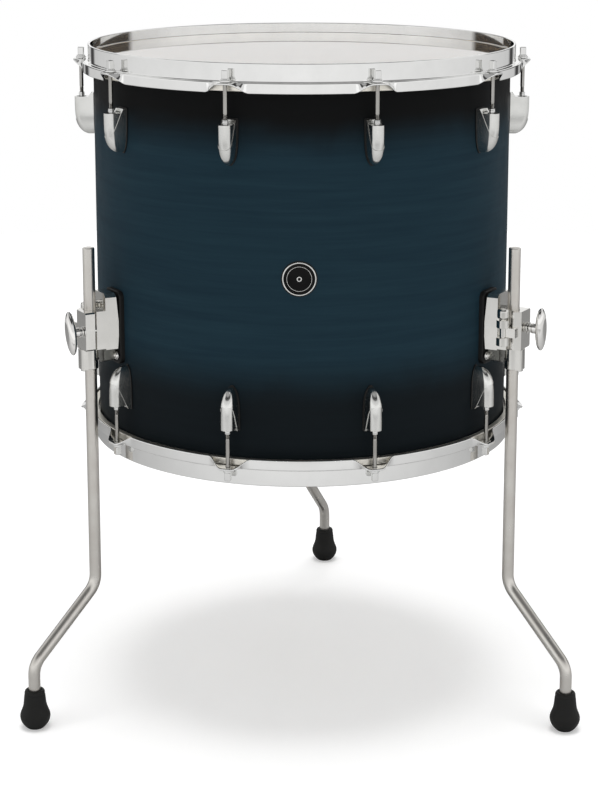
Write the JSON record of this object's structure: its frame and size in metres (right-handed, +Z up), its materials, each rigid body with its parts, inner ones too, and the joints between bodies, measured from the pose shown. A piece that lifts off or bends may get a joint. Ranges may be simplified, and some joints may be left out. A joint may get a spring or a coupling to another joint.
{
  "type": "floor tom",
  "caption": "Floor tom drum: satin lacquered shell, coated-film heads under flanged hoops with tension rods and bullet lugs, and bent legs clamped in hinged brackets on rubber feet.",
  "frame": {"origin": "middle of the footprint at floor level, under the drum", "axes": "+Z up along the drum's axis, -Y towards the front of the drum, the side between the two front legs"},
  "size_m": [0.5988, 0.5854, 0.7178],
  "materials": {
    "shell_lacquer": "satin lacquer over maple, teal blue in the middle bursting to near black at both ends",
    "head_film": "glossy off-white drum head film with an aluminium ring",
    "hoop_chrome": "bright chrome plated steel",
    "lug_chrome": "bright chrome plated die casting",
    "rod_steel": "plated steel",
    "bracket_chrome": "chrome plated die casting",
    "wing_bolt_chrome": "bright chrome",
    "leg_chrome": "chrome plated steel rod",
    "foot_rubber": "matt black moulded rubber"
  },
  "bodies": {
    "drum": {"shell": "shell_lacquer", "batter_head": "head_film", "resonant_head": "head_film", "top_hoop": "hoop_chrome", "bottom_hoop": "hoop_chrome", "bottom_lug_01": "lug_chrome", "bottom_lug_02": "lug_chrome", "bottom_lug_03": "lug_chrome", "bottom_lug_04": "lug_chrome", "bottom_lug_05": "lug_chrome", "bottom_lug_06": "lug_chrome", "bottom_lug_07": "lug_chrome", "bottom_lug_08": "lug_chrome", "bottom_lug_09": "lug_chrome", "bottom_lug_10": "lug_chrome", "top_lug_01": "lug_chrome", "top_lug_02": "lug_chrome", "top_lug_03": "lug_chrome", "top_lug_04": "lug_chrome", "top_lug_05": "lug_chrome", "top_lug_06": "lug_chrome", "top_lug_07": "lug_chrome", "top_lug_08": "lug_chrome", "top_lug_09": "lug_chrome", "top_lug_10": "lug_chrome", "left_bracket_base": "bracket_chrome", "right_bracket_base": "bracket_chrome", "back_bracket_base": "bracket_chrome"},
    "left_jaw": {"left_bracket_jaw": "bracket_chrome"},
    "left_wing_bolt": {"left_wing_bolt": "wing_bolt_chrome"},
    "left_leg": {"left_leg": "leg_chrome", "left_foot": "foot_rubber"},
    "right_jaw": {"right_bracket_jaw": "bracket_chrome"},
    "right_wing_bolt": {"right_wing_bolt": "wing_bolt_chrome"},
    "right_leg": {"right_leg": "leg_chrome", "right_foot": "foot_rubber"},
    "back_jaw": {"back_bracket_jaw": "bracket_chrome"},
    "back_wing_bolt": {"back_wing_bolt": "wing_bolt_chrome"},
    "back_leg": {"back_leg": "leg_chrome", "back_foot": "foot_rubber"},
    "top_rod_01": {"top_rod_01": "rod_steel"},
    "top_rod_02": {"top_rod_02": "rod_steel"},
    "top_rod_03": {"top_rod_03": "rod_steel"},
    "top_rod_04": {"top_rod_04": "rod_steel"},
    "top_rod_05": {"top_rod_05": "rod_steel"},
    "top_rod_06": {"top_rod_06": "rod_steel"},
    "top_rod_07": {"top_rod_07": "rod_steel"},
    "top_rod_08": {"top_rod_08": "rod_steel"},
    "top_rod_09": {"top_rod_09": "rod_steel"},
    "top_rod_10": {"top_rod_10": "rod_steel"},
    "bottom_rod_01": {"bottom_rod_01": "rod_steel"},
    "bottom_rod_02": {"bottom_rod_02": "rod_steel"},
    "bottom_rod_03": {"bottom_rod_03": "rod_steel"},
    "bottom_rod_04": {"bottom_rod_04": "rod_steel"},
    "bottom_rod_05": {"bottom_rod_05": "rod_steel"},
    "bottom_rod_06": {"bottom_rod_06": "rod_steel"},
    "bottom_rod_07": {"bottom_rod_07": "rod_steel"},
    "bottom_rod_08": {"bottom_rod_08": "rod_steel"},
    "bottom_rod_09": {"bottom_rod_09": "rod_steel"},
    "bottom_rod_10": {"bottom_rod_10": "rod_steel"}
  },
  "joints": [
    {"name": "left_leg_slide", "type": "slide", "parent": "drum", "child": "left_leg", "axis": [0, 0, -1], "range_m": [0, 0.07]},
    {"name": "left_jaw_hinge", "type": "hinge", "parent": "drum", "child": "left_jaw", "pos_m": [-0.22623, -0.16566, 0.4274], "axis": [0, 0, -1], "range_deg": [0, 2.5]},
    {"name": "left_wing_bolt_turn", "type": "hinge", "parent": "left_jaw", "child": "left_wing_bolt", "pos_m": [-0.22757, -0.19992, 0.4274], "axis": [-0.866, -0.5, 0], "continuous": true},
    {"name": "right_leg_slide", "type": "slide", "parent": "drum", "child": "right_leg", "axis": [0, 0, -1], "range_m": [0, 0.07]},
    {"name": "right_jaw_hinge", "type": "hinge", "parent": "drum", "child": "right_jaw", "pos_m": [0.2125, -0.19597, 0.4274], "axis": [0, 0, -1], "range_deg": [0, 2.5]},
    {"name": "right_wing_bolt_turn", "type": "hinge", "parent": "right_jaw", "child": "right_wing_bolt", "pos_m": [0.24285, -0.18001, 0.4274], "axis": [0.866, -0.5, 0], "continuous": true},
    {"name": "back_leg_slide", "type": "slide", "parent": "drum", "child": "back_leg", "axis": [0, 0, -1], "range_m": [0, 0.07]},
    {"name": "back_jaw_hinge", "type": "hinge", "parent": "drum", "child": "back_jaw", "pos_m": [0.01939, 0.19914, 0.4274], "axis": [0, 0, -1], "range_deg": [0, 2.5]},
    {"name": "back_wing_bolt_turn", "type": "hinge", "parent": "back_jaw", "child": "back_wing_bolt", "pos_m": [-0.00961, 0.21743, 0.4274], "axis": [0, 1, 0], "continuous": true},
    {"name": "top_rod_01_turn", "type": "hinge", "parent": "drum", "child": "top_rod_01", "pos_m": [0.07636, -0.28337, 0.6997], "axis": [0, 0, 1], "continuous": true},
    {"name": "top_rod_02_turn", "type": "hinge", "parent": "drum", "child": "top_rod_02", "pos_m": [0.19686, -0.19582, 0.6997], "axis": [0, 0, 1], "continuous": true},
    {"name": "top_rod_03_turn", "type": "hinge", "parent": "drum", "child": "top_rod_03", "pos_m": [0.24289, -0.05416, 0.6997], "axis": [0, 0, 1], "continuous": true},
    {"name": "top_rod_04_turn", "type": "hinge", "parent": "drum", "child": "top_rod_04", "pos_m": [0.19686, 0.08749, 0.6997], "axis": [0, 0, 1], "continuous": true},
    {"name": "top_rod_05_turn", "type": "hinge", "parent": "drum", "child": "top_rod_05", "pos_m": [0.07636, 0.17504, 0.6997], "axis": [0, 0, 1], "continuous": true},
    {"name": "top_rod_06_turn", "type": "hinge", "parent": "drum", "child": "top_rod_06", "pos_m": [-0.07258, 0.17504, 0.6997], "axis": [0, 0, 1], "continuous": true},
    {"name": "top_rod_07_turn", "type": "hinge", "parent": "drum", "child": "top_rod_07", "pos_m": [-0.19308, 0.08749, 0.6997], "axis": [0, 0, 1], "continuous": true},
    {"name": "top_rod_08_turn", "type": "hinge", "parent": "drum", "child": "top_rod_08", "pos_m": [-0.23911, -0.05416, 0.6997], "axis": [0, 0, 1], "continuous": true},
    {"name": "top_rod_09_turn", "type": "hinge", "parent": "drum", "child": "top_rod_09", "pos_m": [-0.19308, -0.19582, 0.6997], "axis": [0, 0, 1], "continuous": true},
    {"name": "top_rod_10_turn", "type": "hinge", "parent": "drum", "child": "top_rod_10", "pos_m": [-0.07258, -0.28337, 0.6997], "axis": [0, 0, 1], "continuous": true},
    {"name": "bottom_rod_01_turn", "type": "hinge", "parent": "drum", "child": "bottom_rod_01", "pos_m": [0.07636, -0.28337, 0.3049], "axis": [0, 0, 1], "continuous": true},
    {"name": "bottom_rod_02_turn", "type": "hinge", "parent": "drum", "child": "bottom_rod_02", "pos_m": [0.19686, -0.19582, 0.3049], "axis": [0, 0, 1], "continuous": true},
    {"name": "bottom_rod_03_turn", "type": "hinge", "parent": "drum", "child": "bottom_rod_03", "pos_m": [0.24289, -0.05416, 0.3049], "axis": [0, 0, 1], "continuous": true},
    {"name": "bottom_rod_04_turn", "type": "hinge", "parent": "drum", "child": "bottom_rod_04", "pos_m": [0.19686, 0.08749, 0.3049], "axis": [0, 0, 1], "continuous": true},
    {"name": "bottom_rod_05_turn", "type": "hinge", "parent": "drum", "child": "bottom_rod_05", "pos_m": [0.07636, 0.17504, 0.3049], "axis": [0, 0, 1], "continuous": true},
    {"name": "bottom_rod_06_turn", "type": "hinge", "parent": "drum", "child": "bottom_rod_06", "pos_m": [-0.07258, 0.17504, 0.3049], "axis": [0, 0, 1], "continuous": true},
    {"name": "bottom_rod_07_turn", "type": "hinge", "parent": "drum", "child": "bottom_rod_07", "pos_m": [-0.19308, 0.08749, 0.3049], "axis": [0, 0, 1], "continuous": true},
    {"name": "bottom_rod_08_turn", "type": "hinge", "parent": "drum", "child": "bottom_rod_08", "pos_m": [-0.23911, -0.05416, 0.3049], "axis": [0, 0, 1], "continuous": true},
    {"name": "bottom_rod_09_turn", "type": "hinge", "parent": "drum", "child": "bottom_rod_09", "pos_m": [-0.19308, -0.19582, 0.3049], "axis": [0, 0, 1], "continuous": true},
    {"name": "bottom_rod_10_turn", "type": "hinge", "parent": "drum", "child": "bottom_rod_10", "pos_m": [-0.07258, -0.28337, 0.3049], "axis": [0, 0, 1], "continuous": true}
  ]
}
